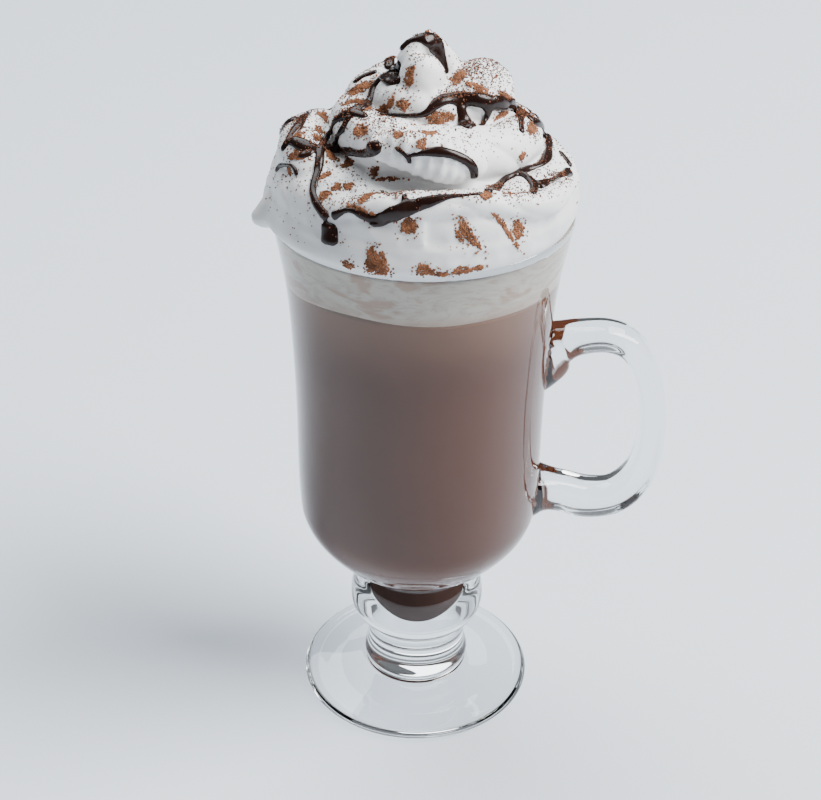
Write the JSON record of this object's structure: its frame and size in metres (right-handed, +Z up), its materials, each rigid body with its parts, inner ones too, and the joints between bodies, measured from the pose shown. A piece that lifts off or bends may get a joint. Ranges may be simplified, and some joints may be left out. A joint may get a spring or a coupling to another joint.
{
  "type": "hot chocolate in a footed glass mug",
  "caption": "Footed glass mug with a side handle, filled with hot chocolate under a whipped cream swirl with drizzled chocolate sauce.",
  "frame": {"origin": "centre of the foot's underside, on the table", "axes": "+Z up along the glass's axis, +X from the axis towards the handle"},
  "size_m": [0.1067, 0.0774, 0.1927],
  "materials": {
    "glass": "clear, polished",
    "hot_chocolate": "milky cocoa brown, wet against the glass",
    "melted_cream": "pale grey beige with faint brown streaks",
    "whipped_cream": "soft white, faintly glossy",
    "chocolate_sauce": "glossy dark brown",
    "cocoa": "dry powder"
  },
  "bodies": {
    "root": {"glass_mug": "glass", "hot_chocolate": "hot_chocolate", "melted_cream": "melted_cream", "whipped_cream": "whipped_cream"}
  },
  "joints": []
}
